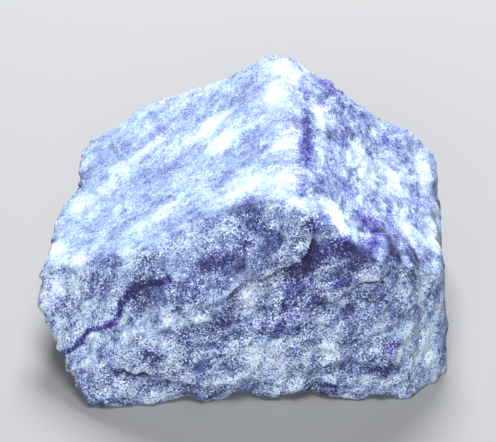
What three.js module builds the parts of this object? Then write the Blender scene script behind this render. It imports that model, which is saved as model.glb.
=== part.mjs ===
import * as THREE from 'three';
import { mergeVertices } from 'three/addons/utils/BufferGeometryUtils.js';

// Raw blue aventurine: one broken lump of quartzite, in millimetres, +Z up.
// The origin lies on the flat base, under the middle of the lump. +X runs along its length.
// Two fairly smooth break faces lean together like a roof, and -Y is the rough broken front.
//
// Every point of the surface is found along a straight line out of the core point, first on the
// planes of the breaks, then moved in or out by the relief. So the surface can't cross itself.

// Driving dimensions
const LENGTH = 84;
const DEPTH = 58;
const HEIGHT = 50;
const CORE = new THREE.Vector3(0, 0, 22);
const CELLS_ALONG = 34;
const CELLS_ACROSS = 24;
const CELLS_UP = 20;

// How sharply two break faces meet: the power of the sum that rounds the edge between them.
const EDGE_SHARPNESS = 64;

// How near to an edge, in cells, a vertex is drawn towards it.
const EDGE_PULL = 0.9;
const INDICES_PER_CELL = 6;
const TINY = 1e-6;

// The break faces: where each one looks (degrees), how far it lies from the core point (mm), and
// how rough it is, from 0 for a plane to 1 for the roughest.
const BREAK_FACES = [
  { name: 'left roof', azimuth: 190, elevation: 60.7, distance: 18.2, roughness: 0.27 },
  { name: 'crest', azimuth: -40, elevation: 83.5, distance: 25.7, roughness: 0.3 },
  { name: 'right roof', azimuth: -3.5, elevation: 51.2, distance: 26.1, roughness: 0.37 },
  { name: 'left side', azimuth: 168.5, elevation: 0, distance: 38.9, roughness: 0.6 },
  { name: 'front left', azimuth: 231.5, elevation: 30, distance: 27.1, roughness: 0.5 },
  { name: 'front', azimuth: 270.5, elevation: 3, distance: 27.5, roughness: 0.62 },
  { name: 'front right', azimuth: 315.4, elevation: 11.8, distance: 38.1, roughness: 0.55 },
  { name: 'right side', azimuth: -1, elevation: 3, distance: 40.6, roughness: 0.45 },
  { name: 'back', azimuth: 88, elevation: 3, distance: 28.3, roughness: 0.7 },
  { name: 'back below', azimuth: 100, elevation: -38, distance: 32.3, roughness: 1 },
  { name: 'base', azimuth: 0, elevation: -90, distance: 22.5, roughness: 0.6 },
  { name: 'front below', azimuth: 268, elevation: -68, distance: 31, roughness: 0.7 },
  { name: 'left below', azimuth: 192, elevation: -38, distance: 40.6, roughness: 0.6 },
];

// A shell-shaped chip out of the front lip of the left roof: the ball that it leaves the print of.
const CHIP = { centre: new THREE.Vector3(-14.5, -46, 52), radius: 33, roughness: 0.45 };

// Steps in the front: each has a straight rim, and the stone below the rim lies deeper by depth,
// which fades out over the distance fade.
const LEDGES = [
  { name: 'plate rim', from: [-4.5, -28.5, 26.5], to: [11.5, -28, 34.5], depth: 2.4, fade: 6 },
  { name: 'plate end', from: [11, -28, 33.5], to: [12.5, -25.5, 40], depth: 1.5, fade: 4.5 },
  { name: 'small ledge', from: [18.5, -28, 26.5], to: [27.5, -27, 31], depth: 1.6, fade: 4 },
  { name: 'low crack', from: [-25, -28, 10], to: [-10, -28.5, 5], depth: 1.5, fade: 4 },
  { name: 'vein groove', from: [-33.5, -21.2, 8.6], to: [-15, -24.9, 27.2], depth: 0.7, fade: 3 },
];

// Single swellings, and dips, which have a negative height.
const LUMPS = [
  { name: 'plate', centre: [4, -27, 33.5], radius: 7, height: 0.6 },
  { name: 'top of the small ledge', centre: [24, -27.5, 32], radius: 4, height: 0.9 },
  { name: 'pale lump', centre: [-7.5, -28, 21.5], radius: 3, height: 0.7 },
  { name: 'left toe', centre: [-27, -29.5, 2.5], radius: 9, height: 2.6 },
  { name: 'right toe', centre: [36.5, -24.5, 1], radius: 6, height: -1.2 },
  { name: 'front foot', centre: [1.5, -28, -1.5], radius: 5.5, height: -2.5 },
  { name: 'front foot right', centre: [13, -28, -1.5], radius: 5, height: -2.6 },
  { name: 'right side hollow', centre: [42, -3, 24], radius: 12, height: -0.9 },
  { name: 'left below fill', centre: [-35.5, -23, 5.5], radius: 4.5, height: 1.1 },
  { name: 'left shoulder dip', centre: [-37, 14.5, 22.5], radius: 6.5, height: -1.4 },
  { name: 'back left corner dip', centre: [-31, 29, 27], radius: 6, height: -0.8 },
  { name: 'right rim dip', centre: [27, 26.5, 35.5], radius: 3.5, height: -0.8 },
  { name: 'right rim swell', centre: [36, 26, 27.5], radius: 5, height: 1.1 },
  { name: 'crest rim swell', centre: [2, 26, 46], radius: 5, height: 0.5 },
  { name: 'left rim swell', centre: [-12, 28, 38.5], radius: 6, height: 0.5 },
  { name: 'rim dip', centre: [-3, 27, 44], radius: 5, height: -1 },
  { name: 'rim swelling', centre: [-19, 26, 36], radius: 6, height: 0.7 },
];

// The grain of the rock lies in sheets. FOLD looks square to them and STREAK runs along them.
const FOLD = unitVector(182.6, 51.3);
const STREAK = new THREE.Vector3(0.8, 0.35, 0.48).projectOnPlane(FOLD).normalize();
const ACROSS = new THREE.Vector3().crossVectors(FOLD, STREAK);

// The relief, all in millimetres
const WARP = { size: 7, reach: 1.6, seeds: [31, 32, 33] };
const SWELL = { size: 19, height: 0.9, least: 0.4, seed: 3 };
const SLABS = { size: [14, 10, 6], height: 0.85, seed: 11, sharpness: 14 };
const FLAKES = { size: [6, 4.5, 2.8], height: 0.5, seed: 32, sharpness: 10 };
const WEAR = { size: 5, depth: 1.5, offset: 0.1, seed: 51 };
const STEEPEST = 0.55;

// The foot: an oval in the middle of the base where there is no relief, so that it's flat.
const FOOT = { halfLength: 26, halfDepth: 17, inner: 0.8, outer: 1.15, level: 0.95, tilted: 0.8 };

// Where a ledge starts and stops along its rim, as shares of its length, and how wide its step is.
const RIM_END = 0.12;
const STEP_START = -0.3;
const STEP_END = 1.4;

const MIX = { x: 0x8da6b343, y: 0xd8163841, z: 0xcb1ab31f, seed: 0x9e3779b1 };
const STIR_FIRST = 0x2c1b3c6d;
const STIR_SECOND = 0x297a2d39;
const TEN_BITS = 1023;
const NOISE_GAIN = 1.5;
const CELL_SPREAD = 0.4;

// The unit vector that looks the way of an azimuth and an elevation, in degrees.
function unitVector(azimuth, elevation) {
  const turn = THREE.MathUtils.degToRad(azimuth);
  const rise = THREE.MathUtils.degToRad(elevation);
  const flat = Math.cos(rise);
  return new THREE.Vector3(Math.cos(turn) * flat, Math.sin(turn) * flat, Math.sin(rise));
}

// 0 below low, 1 above high, and an S-curve between them.
function smoothStep(low, high, x) {
  const t = THREE.MathUtils.clamp((x - low) / (high - low), 0, 1);
  return t * t * (3 - 2 * t);
}

// Three repeatable numbers between -1 and 1 for a cell of a lattice.
function scatter(x, y, z, seed) {
  let h = Math.imul(x, MIX.x) + Math.imul(y, MIX.y) + Math.imul(z, MIX.z) + Math.imul(seed, MIX.seed);
  h >>>= 0;
  h ^= h >>> 15;
  h = Math.imul(h, STIR_FIRST);
  h ^= h >>> 12;
  h = Math.imul(h, STIR_SECOND);
  h ^= h >>> 15;
  const share = (bits) => (2 * (bits & TEN_BITS)) / TEN_BITS - 1;
  return [share(h), share(h >>> 10), share(h >>> 20)];
}

// Smooth noise of about -1 to 1: each corner of a unit cell has a random slope, and the slopes are
// blended across the cell.
function smoothNoise(x, y, z, seed) {
  const cell = [Math.floor(x), Math.floor(y), Math.floor(z)];
  const inside = [x - cell[0], y - cell[1], z - cell[2]];
  const blend = inside.map((f) => f * f * f * (f * (f * 6 - 15) + 10));
  let total = 0;
  for (let corner = 0; corner < 8; corner += 1) {
    const step = [corner & 1, (corner >> 1) & 1, (corner >> 2) & 1];
    const slope = scatter(cell[0] + step[0], cell[1] + step[1], cell[2] + step[2], seed);
    let weight = 1;
    let value = 0;
    for (let axis = 0; axis < 3; axis += 1) {
      weight *= step[axis] ? blend[axis] : 1 - blend[axis];
      value += (inside[axis] - step[axis]) * slope[axis];
    }
    total += weight * value;
  }
  return NOISE_GAIN * total;
}

// Small break planes: space is shared out among scattered seeds, and each seed's share of the
// surface is a tilted plane of its own height. Sharpness says how hard two of them meet.
function breakPlanes(x, y, z, seed, sharpness) {
  const cell = [Math.floor(x), Math.floor(y), Math.floor(z)];
  const planes = [];
  let nearest = Infinity;
  for (let i = -1; i < 2; i += 1) {
    for (let j = -1; j < 2; j += 1) {
      for (let k = -1; k < 2; k += 1) {
        const at = [cell[0] + i, cell[1] + j, cell[2] + k];
        const place = scatter(at[0], at[1], at[2], seed);
        const tilt = scatter(at[0], at[1], at[2], seed + 1);
        const height = scatter(at[0], at[1], at[2], seed + 2)[0];
        const off = [x, y, z].map((v, axis) => v - (at[axis] + 0.5 + CELL_SPREAD * place[axis]));
        const distance = off[0] * off[0] + off[1] * off[1] + off[2] * off[2];
        const level = height + off[0] * tilt[0] + off[1] * tilt[1] + off[2] * tilt[2];
        planes.push({ distance, level });
        nearest = Math.min(nearest, distance);
      }
    }
  }
  let weights = 0;
  let total = 0;
  for (const plane of planes) {
    const weight = Math.exp(-sharpness * (plane.distance - nearest));
    weights += weight;
    total += weight * plane.level;
  }
  return total / weights;
}

// The breaks that a direction out of the core meets. Near is 1 / the distance to the break, so the
// nearest break has the largest; plane is the break's normal over its distance from the core.
function breaksAlong(direction) {
  const met = [];
  for (const face of BREAK_FACES) {
    const normal = unitVector(face.azimuth, face.elevation);
    const plane = normal.clone().divideScalar(face.distance);
    met.push({ near: Math.max(plane.dot(direction), 0), normal, plane, roughness: face.roughness });
  }
  const toBall = CHIP.centre.clone().sub(CORE);
  const along = toBall.dot(direction);
  const under = along * along - (toBall.lengthSq() - CHIP.radius * CHIP.radius);
  if (along > 0 && under > 0) {
    const reach = along - Math.sqrt(under);
    const normal = toBall.addScaledVector(direction, -reach).normalize();
    const plane = normal.clone().divideScalar(Math.max(normal.dot(direction) * reach, TINY));
    met.push({ near: 1 / reach, normal, plane, roughness: CHIP.roughness });
  }
  return met;
}

// The stone without relief, along one direction out of the core: how far the surface is, its
// normal, how rough it is, and how close the direction comes to an edge. The breaks' nearness is
// summed to the power EDGE_SHARPNESS, so the nearest one decides and the edges are a little round.
function brokenBlock(direction) {
  let total = 0;
  let roughness = 0;
  let strongest = 0;
  const normal = new THREE.Vector3();
  for (const met of breaksAlong(direction)) {
    const share = met.near ** EDGE_SHARPNESS;
    total += share;
    roughness += share * met.roughness;
    strongest = Math.max(strongest, share);
    normal.addScaledVector(met.normal, share / Math.max(met.normal.dot(direction), TINY));
  }
  return {
    radius: total ** (-1 / EDGE_SHARPNESS),
    normal: normal.normalize(),
    roughness: roughness / total,
    edge: 1 - strongest / total,
  };
}

// Turns a direction towards the plane through the core and the nearest edge, where it's less than
// reach (radians) away from it. The mesh then follows the edges instead of stepping along them.
function drawToEdge(direction, reach) {
  const [first, second] = breaksAlong(direction).sort((a, b) => b.near - a.near);
  const edge = first.plane.sub(second.plane).normalize();
  const off = edge.dot(direction);
  const share = Math.min(Math.abs(off) / reach, 1);
  direction.addScaledVector(edge, off * (share * share - 1)).normalize();
}

// How much deeper the ledges make the surface at a point.
function ledgeDepth(point) {
  const spot = point.clone().sub(CORE);
  let depth = 0;
  for (const ledge of LEDGES) {
    const from = new THREE.Vector3(...ledge.from).sub(CORE);
    const to = new THREE.Vector3(...ledge.to).sub(CORE);
    const down = new THREE.Vector3().crossVectors(from, to).normalize();
    down.multiplyScalar(down.z > 0 ? -1 : 1);
    const rim = to.clone().sub(from);
    const below = spot.dot(down);
    const along = spot.clone().sub(from).dot(rim) / rim.lengthSq();
    const inFront = spot.dot(from.add(to)) > 0;
    if (inFront) {
      const ends = smoothStep(-RIM_END, RIM_END, along) * (1 - smoothStep(1 - RIM_END, 1 + RIM_END, along));
      const step = smoothStep(STEP_START, STEP_END, below) * Math.exp(-Math.max(below, 0) / ledge.fade);
      depth += ledge.depth * ends * step;
    }
  }
  return depth;
}

// How high the single swellings raise the surface at a point.
function lumpHeight(point) {
  let height = 0;
  for (const lump of LUMPS) {
    const away = point.distanceToSquared(new THREE.Vector3(...lump.centre));
    height += lump.height * Math.exp(-away / (lump.radius * lump.radius));
  }
  return height;
}

// The relief at a point of the broken block: how far the surface moves outwards along its normal.
function relief(point, block) {
  const warp = WARP.seeds.map((seed) => {
    return smoothNoise(point.x / WARP.size, point.y / WARP.size, point.z / WARP.size, seed);
  });
  const bent = point.clone().addScaledVector(new THREE.Vector3(...warp), WARP.reach);
  const inGrain = [bent.dot(STREAK), bent.dot(ACROSS), bent.dot(FOLD)];
  const planes = (kind) => {
    const [x, y, z] = inGrain.map((v, axis) => v / kind.size[axis]);
    return kind.height * breakPlanes(x, y, z, kind.seed, kind.sharpness);
  };
  const noise = (kind) => smoothNoise(point.x / kind.size, point.y / kind.size, point.z / kind.size, kind.seed);
  const rough = block.roughness;
  let height = SWELL.height * noise(SWELL) * (SWELL.least + (1 - SWELL.least) * rough);
  height += rough * (planes(SLABS) + planes(FLAKES));
  height -= WEAR.depth * block.edge * Math.max(noise(WEAR) + WEAR.offset, 0);
  height -= ledgeDepth(bent);
  height += lumpHeight(bent);
  const downwards = 1 - smoothStep(-FOOT.level, -FOOT.tilted, block.normal.z);
  const fromMiddle = Math.hypot(point.x / FOOT.halfLength, point.y / FOOT.halfDepth);
  const foot = downwards * (1 - smoothStep(FOOT.inner, FOOT.outer, fromMiddle));
  return height * (1 - foot);
}

// The finished surface along one direction. Nothing reaches below the level of the base.
function surfacePoint(direction) {
  const block = brokenBlock(direction);
  const onBlock = CORE.clone().addScaledVector(direction, block.radius);
  const slope = THREE.MathUtils.clamp(block.normal.dot(direction), STEEPEST, 1);
  const radius = block.radius + relief(onBlock, block) / slope;
  const toBase = direction.z < 0 ? CORE.z / -direction.z : Infinity;
  const point = CORE.clone().addScaledVector(direction, Math.min(radius, toBase));
  if (radius >= toBase) {
    point.z = 0;
  }
  return point;
}

// Swaps the diagonal of each four-sided cell for the one that stands further out, so that an edge
// which crosses a cell stays whole.
function chooseDiagonals(geometry) {
  const position = geometry.getAttribute('position');
  const index = geometry.getIndex();
  const corner = (i) => new THREE.Vector3().fromBufferAttribute(position, i);
  const reach = (i, j) => corner(i).add(corner(j)).divideScalar(2).distanceTo(CORE);
  for (let i = 0; i < index.count; i += INDICES_PER_CELL) {
    const a = index.getX(i);
    const b = index.getX(i + 1);
    const d = index.getX(i + 2);
    const c = index.getX(i + 4);
    if (reach(a, c) > reach(b, d)) {
      index.setX(i + 2, c);
      index.setX(i + 3, a);
    }
  }
}

// A box around the core, cut into cells; each of its vertices is moved to the stone's surface.
function stoneGeometry() {
  const box = new THREE.BoxGeometry(LENGTH, DEPTH, HEIGHT, CELLS_ALONG, CELLS_ACROSS, CELLS_UP);
  box.deleteAttribute('normal');
  box.deleteAttribute('uv');
  const geometry = mergeVertices(box);
  const position = geometry.getAttribute('position');
  const direction = new THREE.Vector3();
  for (let i = 0; i < position.count; i += 1) {
    direction.fromBufferAttribute(position, i);
    const reach = (EDGE_PULL * LENGTH) / CELLS_ALONG / direction.length();
    drawToEdge(direction.normalize(), reach);
    const point = surfacePoint(direction);
    position.setXYZ(i, point.x, point.y, point.z);
  }
  chooseDiagonals(geometry);
  geometry.computeVertexNormals();
  return geometry;
}

const stone = new THREE.Mesh(
  stoneGeometry(),
  new THREE.MeshStandardMaterial({ color: '#8c9fd4', roughness: 0.5, metalness: 0, flatShading: true }),
);
stone.name = 'aventurine';

const aventurine = new THREE.Group();
aventurine.name = 'raw_aventurine';
aventurine.add(stone);

export default aventurine;
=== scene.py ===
"""Raw blue aventurine: one broken lump of quartzite with its sugary grain, on a plain pale floor.

The surface is worked out along straight lines out of a point inside the stone, first on the planes
of the breaks, then moved in or out by the relief. All sizes are real and in millimetres; the mesh
is in metres. The marks in the rock, and the painted light and shade among them, are placed by the
pixel of the photograph that shows them, and the script works out where on the stone that is.
"""

import math

import bpy
import numpy as np
from mathutils import Matrix, Vector


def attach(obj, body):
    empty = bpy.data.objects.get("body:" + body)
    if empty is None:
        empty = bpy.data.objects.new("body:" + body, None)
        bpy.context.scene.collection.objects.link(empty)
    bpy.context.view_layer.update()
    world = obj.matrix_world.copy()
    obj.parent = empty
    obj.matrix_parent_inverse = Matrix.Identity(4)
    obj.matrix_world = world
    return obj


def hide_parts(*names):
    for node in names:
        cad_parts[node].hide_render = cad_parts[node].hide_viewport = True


bl_info = {
    "name": "Raw blue aventurine",
    "version": (1, 0, 0),
    "blender": (4, 5, 0),
    "location": "3D View > Sidebar > Aventurine",
    "description": "Builds a broken lump of blue aventurine and the stage that it lies on",
    "category": "Add Mesh",
}

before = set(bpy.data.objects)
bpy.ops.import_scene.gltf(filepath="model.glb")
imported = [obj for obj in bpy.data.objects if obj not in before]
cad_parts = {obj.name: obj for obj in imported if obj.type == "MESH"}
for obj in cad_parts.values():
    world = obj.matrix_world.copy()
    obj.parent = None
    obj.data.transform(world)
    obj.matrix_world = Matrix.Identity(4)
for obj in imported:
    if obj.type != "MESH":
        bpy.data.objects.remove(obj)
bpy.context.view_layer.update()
NODE = "aventurine"
MM = 0.001

# The point that the surface is worked out from, and the size of the box whose lattice points give the
# directions out of it.
CORE = np.array([0.0, 0.0, 22.0])
BOX_SIZE = (84.0, 58.0, 50.0)

# The photograph's frame in pixels, and the pixel, across and down, that the core lies behind.
IMAGE_WIDTH, IMAGE_HEIGHT = 496, 442
MIDDLE_ACROSS, MIDDLE_DOWN = 245, 232

# The camera's angle above the floor (degrees), its distance from the core, and the size of a pixel
# there.
CAMERA_RISE, CAMERA_DISTANCE, PIXEL = 35.0, 450.0, 0.206

# Where a line of sight is searched for the stone, from the camera on, and how finely a place found on
# it is kept.
SIGHT_START, SIGHT_END, SIGHT_STEP = 390.0, 520.0, 0.1
PLACE_STEP = 0.5

# The break faces: the azimuth and elevation that each looks to (degrees), its distance from the
# core (mm), and how rough it is, from 0 for a plane to 1 for the roughest.
BREAK_FACES = {
    "left roof": (190.0, 60.7, 18.2, 0.27),
    "crest": (-40.0, 83.5, 25.7, 0.30),
    "right roof": (-3.5, 51.2, 26.1, 0.37),
    "left side": (168.5, 0.0, 38.9, 0.60),
    "front left": (231.5, 30.0, 27.1, 0.50),
    "front": (270.5, 3.0, 27.5, 0.62),
    "front right": (315.4, 11.8, 38.1, 0.55),
    "right side": (-1.0, 3.0, 40.6, 0.45),
    "back": (88.0, 3.0, 28.3, 0.70),
    "back below": (100.0, -38.0, 32.3, 1.00),
    "base": (0.0, -90.0, 22.5, 0.60),
    "front below": (268.0, -68.0, 31.0, 0.70),
    "left below": (192.0, -38.0, 40.6, 0.60),
}

# A shell-shaped chip out of the front lip: the ball that it leaves the print of, and its roughness.
CHIP_CENTRE = np.array([-14.5, -46.0, 52.0])
CHIP_RADIUS = 33.0
CHIP_ROUGHNESS = 0.45

# Steps in the front: where the rim starts and ends, how much deeper the stone below it lies, and
# over what distance that fades out.
LEDGES = {
    "plate rim": ((-4.5, -28.5, 26.5), (11.5, -28.0, 34.5), 2.4, 6.0),
    "plate end": ((11.0, -28.0, 33.5), (12.5, -25.5, 40.0), 1.5, 4.5),
    "small ledge": ((18.5, -28.0, 26.5), (27.5, -27.0, 31.0), 1.6, 4.0),
    "low crack": ((-25.0, -28.0, 10.0), (-10.0, -28.5, 5.0), 1.5, 4.0),
    "vein groove": ((-33.5, -21.2, 8.6), (-15.0, -24.9, 27.2), 0.7, 3.0),
}

# Single swellings: centre, radius and height. A dip has a negative height.
LUMPS = {
    "plate": ((4.0, -27.0, 33.5), 7.0, 0.6),
    "top of the small ledge": ((24.0, -27.5, 32.0), 4.0, 0.9),
    "pale lump": ((-7.5, -28.0, 21.5), 3.0, 0.7),
    "left toe": ((-27.0, -29.5, 2.5), 9.0, 2.6),
    "right toe": ((36.5, -24.5, 1.0), 6.0, -1.2),
    "front foot": ((1.5, -28.0, -1.5), 5.5, -2.5),
    "front foot right": ((13.0, -28.0, -1.5), 5.0, -2.6),
    "right side hollow": ((42.0, -3.0, 24.0), 12.0, -0.9),
    "left below fill": ((-35.5, -23.0, 5.5), 4.5, 1.1),
    "left shoulder dip": ((-37.0, 14.5, 22.5), 6.5, -1.4),
    "back left corner dip": ((-31.0, 29.0, 27.0), 6.0, -0.8),
    "right rim dip": ((27.0, 26.5, 35.5), 3.5, -0.8),
    "right rim swell": ((36.0, 26.0, 27.5), 5.0, 1.1),
    "crest rim swell": ((2.0, 26.0, 46.0), 5.0, 0.5),
    "left rim swell": ((-12.0, 28.0, 38.5), 6.0, 0.5),
    "rim dip": ((-3.0, 27.0, 44.0), 5.0, -1.0),
    "rim swelling": ((-19.0, 26.0, 36.0), 6.0, 0.7),
}

# Marks in the rock, and painted light and shade, by kind and face: the pixel that shows the middle of
# each, across and down in the photograph, its half-width and half-height in pixels, its strength and,
# for some, how far the middle lies behind the surface (mm). Indigo is dark and violet, slate only dark,
# cobalt only violet, pale is lighter, and beige is stained by iron. The slate and indigo under the lip
# and under the plate are partly darker rock and partly painted shade; the pale along the side edges
# is painted light, and along the bottom of the front partly paler rock and partly painted light; the
# beige along the plate's rim tints its painted highlight. A negative strength takes away.
PATCHES = {}
PATCHES["indigo", "front"] = {
    # Under the lip: darker, violet rock, and partly painted shade under the lip.
    "under the lip": (266, 229, 16, 5, 0.9, 1.0),
    "under the lip left": (246, 238, 12, 4, 0.7, 0.5),
    "upper plate": (222, 258, 15, 5, 1, 0.8),
    "upper plate left": (203, 268, 10, 4.5, 1),
    "right lip": (338, 246, 12, 8, 1.6),
    "right lip start": (316, 228, 12, 6, 0.9),
    "right lip end": (366, 252, 13, 6, 1.2),
    # Beside and under the plate: darker rock, and partly painted shade under the plate.
    "beside the plate": (313, 256, 10, 9, 1.2),
    "beside the plate low": (300, 268, 13, 7, 1.1),
    "pit": (289, 306, 7, 6, 1.5),
    "beside the pit": (274, 312, 11, 6, 0.7),
    "below the pit": (284, 328, 7, 6, 0.8),
    "streak in the middle": (214, 325, 12, 4, 0.7),
    "streak in the middle right": (232, 321, 11, 4, 0.7),
    "low right": (340, 368, 15, 6, 0.5),
    "low far right": (380, 371, 16, 6, 0.8),
    "middle right": (393, 348, 8, 8, 0.8),
    "bottom line": (340, 387, 36, 2.5, 0.7),
}
PATCHES["slate", "front"] = {
    # Under the lip at the far right: darker rock, and partly painted shade under the lip.
    "far right lip": (394, 251, 14, 6, 2.2),
    "far right lip end": (415, 257, 14, 6, 2.4),
    "right": (397, 311, 8, 8, 0.8),
    "below the small ledge": (350, 316, 8, 10, 0.6),
    "low crack": (150, 376, 20, 2.5, 0.8),
    "low crack right": (180, 382, 14, 2, 0.8),
    "low left": (158, 361, 8, 5, 0.5),
    "low middle": (206, 369, 9, 5, 0.7),
    "under the pale lumps": (208, 310, 22, 5, 0.5),
    "left end": (62, 311, 7, 4, 0.6),
    "low middle right": (256, 362, 9, 5, 0.5),
    # Under the lip, and right of and below the pit under the plate: darker rock, and partly painted shade.
    "chip": (252, 214, 28, 10, 1.7),
    "right of the pit": (312, 304, 16, 9, 2.1),
    "below the pit": (286, 329, 22, 9, 2),
    "low left corner": (112, 372, 16, 8, 0.5),
    "below the small ledge left": (330, 300, 10, 7, 0.6),
    "right of the middle": (330, 334, 14, 8, 0.6),
    "below the upper plate": (232, 270, 12, 5, 0.4, 0.5),
    "upper plate right": (240, 256, 14, 8, 1.1, 0.8),
    "right lip low": (400, 266, 14, 6, 0.7),
    # Under the plate: darker rock, and partly painted shade.
    "below the plate": (264, 302, 12, 8, 0.8),
    "left below the vein": (98, 347, 18, 7, 0.9),
    "low right shade": (318, 357, 18, 7, 0.7),
}
PATCHES["slate", "left roof"] = {
    "far patch": (120, 145, 9, 8, 0.6),
    "streak": (254, 157, 18, 4, 0.6),
    "middle": (166, 166, 14, 5, 0.4),
    "right": (223, 178, 8, 10, 0.5),
    "top": (248, 92, 8, 12, 0.6),
    "crest top": (288, 92, 6, 12, 1),
}
PATCHES["cobalt", "front"] = {
    "beside the pit": (293, 288, 10, 8, 1.2),
    "small ledge": (334, 281, 13, 5, 0.9),
    "left of the streak": (182, 338, 12, 5, 0.7),
    "low streak": (152, 352, 10, 5, 0.7),
    "low left": (106, 362, 14, 7, 0.6),
    "above the vein": (195, 285, 13, 4, 0.7),
    "left end": (50, 294, 3, 11, 0.8),
    "clear right of the vein": (152, 310, 15, 18, -1.8),
    "clear below the pale lumps": (168, 326, 14, 9, -1.7),
}
PATCHES["cobalt", "right roof"] = {
    "vein on the right roof": (306, 128, 4, 22, 1.3),
    "vein widening": (307, 152, 8, 16, 1.2),
    "vein top": (303, 88, 3, 18, 1),
    "vein foot": (303, 184, 4, 20, 1),
    "lip left": (377, 244, 8, 4, 1.1),
    "front": (366, 222, 9, 9, 1.2),
    "lip": (384, 234, 8, 9, 0.5),
    "streak": (389, 212, 4, 18, 0.8),
    "top": (350, 114, 8, 7, 0.5),
    "rim": (330, 86, 11, 6, 1),
    "upper": (337, 136, 5, 5, 0.2),
    "middle": (333, 165, 5, 14, 0.6),
    "lower": (346, 190, 7, 7, 0.8),
    "back": (386, 140, 10, 6, 0.8),
    "side": (414, 195, 5, 14, 0.6),
    "below the vein": (318, 178, 5, 10, 0.7),
}
PATCHES["pale", "front"] = {
    "below the plate": (246, 308, 14, 6, 0.2),
    "above the streak": (170, 321, 10, 7, 2),
    "above the streak right": (194, 320, 10, 6, 1.7),
    "left": (126, 329, 9, 7, 0.9),
    "left right": (146, 331, 10, 8, 1.2),
    "left of the crack": (160, 345, 12, 5, 0.5),
    # Along the left edge: painted light where the edge catches the light.
    "far left": (62, 283, 8, 5, 0.9),
    "far left right": (78, 283, 10, 6, 1.3),
    "far left below": (88, 301, 14, 7, 1),
    "low middle": (262, 352, 18, 5, 0.2),
    "low middle left": (222, 349, 12, 7, 0.8),
    "low spot": (329, 352, 6, 5, 0.4),
    "low spots": (300, 366, 16, 5, 0.3),
    "right": (379, 312, 9, 6, 0.7),
    "right spot": (409, 336, 9, 9, 0.8),
    "low far right": (419, 364, 12, 7, 0.8),
    "top of the small ledge": (368, 274, 11, 4, 0.8),
    "low left spot": (200, 358, 8, 6, 1.2),
    # Along the bottom of the front: paler rock, and partly painted light.
    "bottom": (215, 378, 30, 8, 1.6),
    "bottom left": (118, 394, 20, 4, 0.7),
    "bottom middle": (290, 385, 24, 5, 0.6),
    "bottom right": (345, 381, 28, 5, 0.8),
    "left below the vein": (104, 345, 10, 4, 0.3),
    # Along the right edge: painted light where the edge catches the light.
    "right below the lip": (424, 294, 9, 16, 0.5),
    "middle of the right": (376, 340, 10, 8, 0.4),
    "left lip": (80, 262, 12, 6, 0.8),
    "left lip right": (128, 254, 12, 6, 0.9),
    "right of the vein": (156, 318, 16, 11, 1.6),
    # Along the right edge: painted light where the edge catches the light.
    "right end": (428, 336, 9, 26, 1.2),
    "above the vein": (122, 280, 14, 7, 0.8),
    "middle far right": (404, 352, 10, 8, 1.3),
    "low far right end": (388, 378, 12, 5, 0.7),
    "right face": (404, 292, 20, 14, 0.9),
    "bottom far right": (366, 380, 22, 5, 0.9),
    "left below": (76, 356, 9, 6, 0.7),
}
PATCHES["pale", "left roof"] = {
    "upper white": (215, 121, 14, 7, 1.6),
    "lower white": (220, 143, 12, 9, 1.5),
    "by the crest": (284, 145, 9, 6, 1.3),
    "lip": (291, 204, 9, 6, 1),
    "band": (248, 186, 20, 5, 1),
    "corner": (279, 182, 16, 12, 0.7),
    "apex": (286, 67, 12, 8, 0.9),
    "crest": (275, 95, 9, 14, 0.8),
    "far corner": (86, 162, 8, 7, 1.3),
    "far": (150, 148, 14, 5, 1.1),
    # Along the left edge: painted light where the edge catches the light.
    "rim": (80, 205, 8, 22, 0.5),
    "corner by the front": (60, 250, 8, 14, 1.2),
    "low": (160, 214, 18, 7, 1),
    "left patch": (118, 180, 16, 9, 0.7),
}
PATCHES["pale", "right roof"] = {
    "white": (334, 211, 14, 6, 2.2),
    "lip": (345, 229, 12, 5, 1.5),
    "band": (318, 112, 5, 20, 1.5),
    "spot": (394, 185, 8, 9, 1.6),
    # Along the right edge: painted light where the edge catches the light.
    "corner": (425, 174, 8, 18, 1.7),
    "edge": (433, 236, 7, 20, 1.3),
    "middle": (366, 166, 16, 14, 1.5),
    "below": (402, 222, 7, 8, 1.1),
    "above the vein widening": (322, 138, 5, 10, 0.7),
}
PATCHES["beige", "front"] = {
    "middle": (328, 320, 12, 8, 0.6),
    "by the pit": (303, 309, 6, 6, 0.5),
    "far right": (421, 308, 8, 9, 1),
    "right of the ledge": (400, 276, 10, 6, 0.7),
    "below the rim": (256, 295, 12, 4, 0.9),
    "left": (143, 280, 11, 4, 1),
    "below the vein": (150, 307, 12, 6, 0.8),
    "small ledge": (347, 289, 6, 4, 1),
    "low left": (180, 372, 15, 6, 0.9),
    "bottom": (205, 389, 18, 5, 0.9),
    "above the crack": (125, 361, 8, 4, 1),
    "low middle": (200, 345, 8, 5, 0.6),
    "plate": (268, 258, 16, 8, 0.8),
    "plate left": (246, 272, 14, 6, 0.7, 0.5),
    "plate top": (292, 244, 10, 7, 0.8),
    # Along the plate's rim: the beige tint of its painted highlight.
    "plate rim 1": (234, 293, 7, 2.2, 1.4),
    "plate rim 2": (247, 289, 7, 2.2, 1.4),
    "plate rim 3": (260, 285, 7, 2.2, 1.4),
    "plate rim 4": (273, 280, 7, 2.2, 1.4),
    "plate rim 5": (285, 275, 7, 2.2, 1.3),
    "plate rim 6": (296, 269, 6, 2.2, 1.2),
}

# How far a patch reaches past its stated size, and the share of that reach with its full strength.
PATCH_REACH, PATCH_MIDDLE = 1.6, 0.25

# The lowest edge is lighter and beige: partly crushed grains, and partly painted rim light where the
# edge catches light from below. Fully at the first height (mm), and not above the second.
FOOT_LIGHT_HEIGHTS = (0.3, 1.6)

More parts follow.
